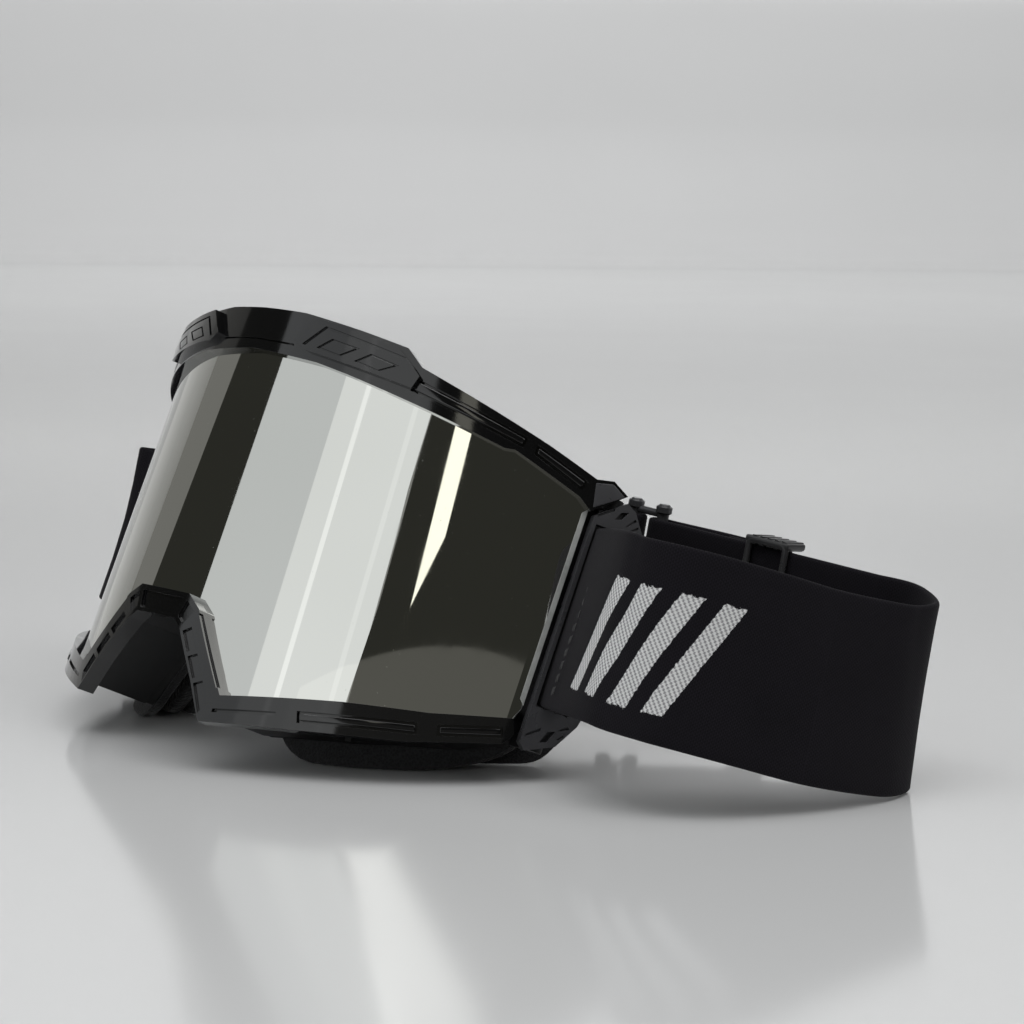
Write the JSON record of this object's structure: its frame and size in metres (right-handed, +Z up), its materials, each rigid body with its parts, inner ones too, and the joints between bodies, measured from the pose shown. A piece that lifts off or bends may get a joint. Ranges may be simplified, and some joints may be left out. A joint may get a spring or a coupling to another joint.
{
  "type": "motorcycle goggles",
  "caption": "Wraparound riding goggles with a mirrored cylindrical lens, layered face foam, hinged outriggers and an elastic head strap with an adjuster.",
  "frame": {"origin": "middle of the whole object's footprint on the table, as it rests with its strap spread to the left side", "axes": "+X to the wearer's left, +Y from the lens back towards the strap, +Z up"},
  "size_m": [0.2616, 0.1295, 0.1085],
  "materials": {
    "gloss_frame": "gloss",
    "satin_plastic": "satin",
    "soft_flange": "matte",
    "mirror_lens": "mirror coated polycarbonate over an olive tint",
    "clear_pane": "clear",
    "foam": "open-cell foam",
    "fleece": "brushed fleece",
    "webbing": "fine woven elastic",
    "thread": "sewing thread",
    "pin": "satin"
  },
  "bodies": {
    "goggles": {"lens_outer": "mirror_lens", "lens_gasket": "foam", "lens_inner": "clear_pane", "frame_body": "gloss_frame", "brow_trim": "gloss_frame", "lower_trim": "gloss_frame", "brow_cover_left": "gloss_frame", "brow_cover_right": "gloss_frame", "vent_foam_brow": "foam", "vent_foam_lower_left": "foam", "vent_foam_lower_right": "foam", "face_flange": "soft_flange", "face_foam_base": "foam", "face_foam_mid": "foam", "face_foam_fleece": "fleece", "hinge_pins_left": "pin", "hinge_pins_right": "pin", "strap_main": "webbing", "strap_short_right": "webbing", "strap_ring": "satin_plastic", "stitching_ring": "thread"},
    "outrigger_left": {"outrigger_left": "satin_plastic", "strap_end_left": "webbing", "stitching_left": "thread"},
    "outrigger_right": {"outrigger_right": "satin_plastic", "strap_end_right": "webbing", "stitching_right": "thread"},
    "adjuster": {"tri_glide": "satin_plastic", "glide_fold": "webbing", "stitching_glide": "thread"}
  },
  "joints": [
    {"name": "outrigger_left_hinge", "type": "hinge", "parent": "goggles", "child": "outrigger_left", "pos_m": [0.05765, 0.00653, 0.03629], "axis": [0, -0.4075, -0.9132], "range_deg": [-3, 7]},
    {"name": "outrigger_right_hinge", "type": "hinge", "parent": "goggles", "child": "outrigger_right", "pos_m": [-0.10611, 0.00653, 0.03629], "axis": [0, 0.4075, 0.9132], "range_deg": [-3, 7]},
    {"name": "adjuster_slide", "type": "slide", "parent": "goggles", "child": "adjuster", "axis": [0.9824, 0.1521, -0.108], "range_m": [-0.004, 0.022]}
  ]
}
